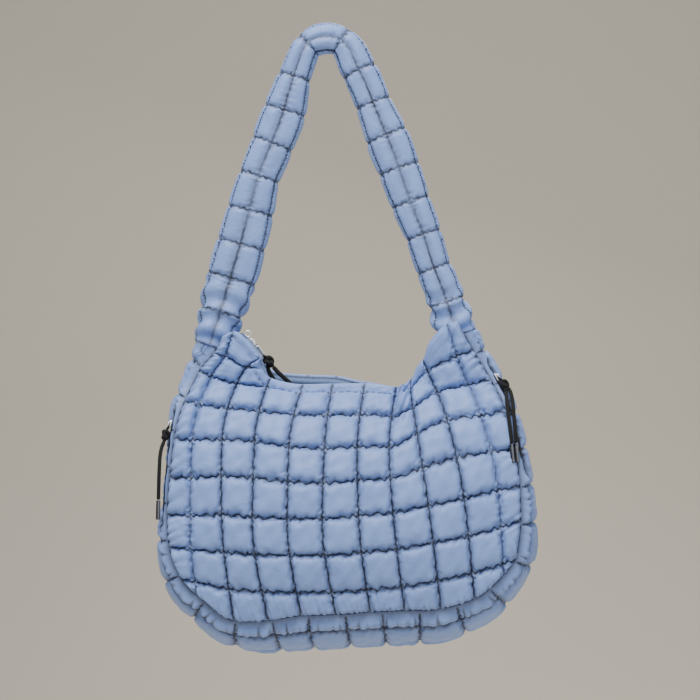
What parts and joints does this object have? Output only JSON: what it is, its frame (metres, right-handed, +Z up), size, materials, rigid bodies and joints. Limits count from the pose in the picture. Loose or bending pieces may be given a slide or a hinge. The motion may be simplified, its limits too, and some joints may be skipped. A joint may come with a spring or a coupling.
{
  "type": "quilted puffer shoulder tote bag",
  "caption": "Padded quilted nylon hobo tote with one wide shoulder strap, an open zip mouth and zipped side pockets, shown hanging",
  "frame": {"origin": "under the strap's crest, where a hook or shoulder carries the bag", "axes": "+Z up, +X to the viewer's right, the front faces -Y"},
  "size_m": [0.4443, 0.1854, 0.7392],
  "materials": {
    "quilted_nylon": "smooth padded nylon, soft sheen",
    "zip_tape": "woven tape, matte",
    "silver_metal": "polished",
    "pull_cord": "braided, matte",
    "cord_tip": "satin",
    "black_zip": "satin"
  },
  "bodies": {
    "root": {"front_panel": "quilted_nylon", "back_panel": "quilted_nylon", "gusset": "quilted_nylon", "strap": "quilted_nylon", "front_zip_tape": "zip_tape", "back_zip_tape": "zip_tape", "zip_slider": "silver_metal", "zip_ring": "silver_metal", "zip_puller": "silver_metal", "left_pocket_slider": "silver_metal", "right_pocket_slider": "silver_metal", "zip_pull_knot": "pull_cord", "zip_pull_tail_long": "pull_cord", "zip_pull_tail_short": "pull_cord", "left_pocket_knot": "pull_cord", "right_pocket_knot": "pull_cord", "left_pocket_cord": "pull_cord", "right_pocket_cord_a": "pull_cord", "right_pocket_cord_b": "pull_cord", "left_pocket_aglet": "cord_tip", "right_pocket_aglet_a": "cord_tip", "right_pocket_aglet_b": "cord_tip", "left_pocket_zip": "black_zip", "right_pocket_zip": "black_zip"}
  },
  "joints": []
}
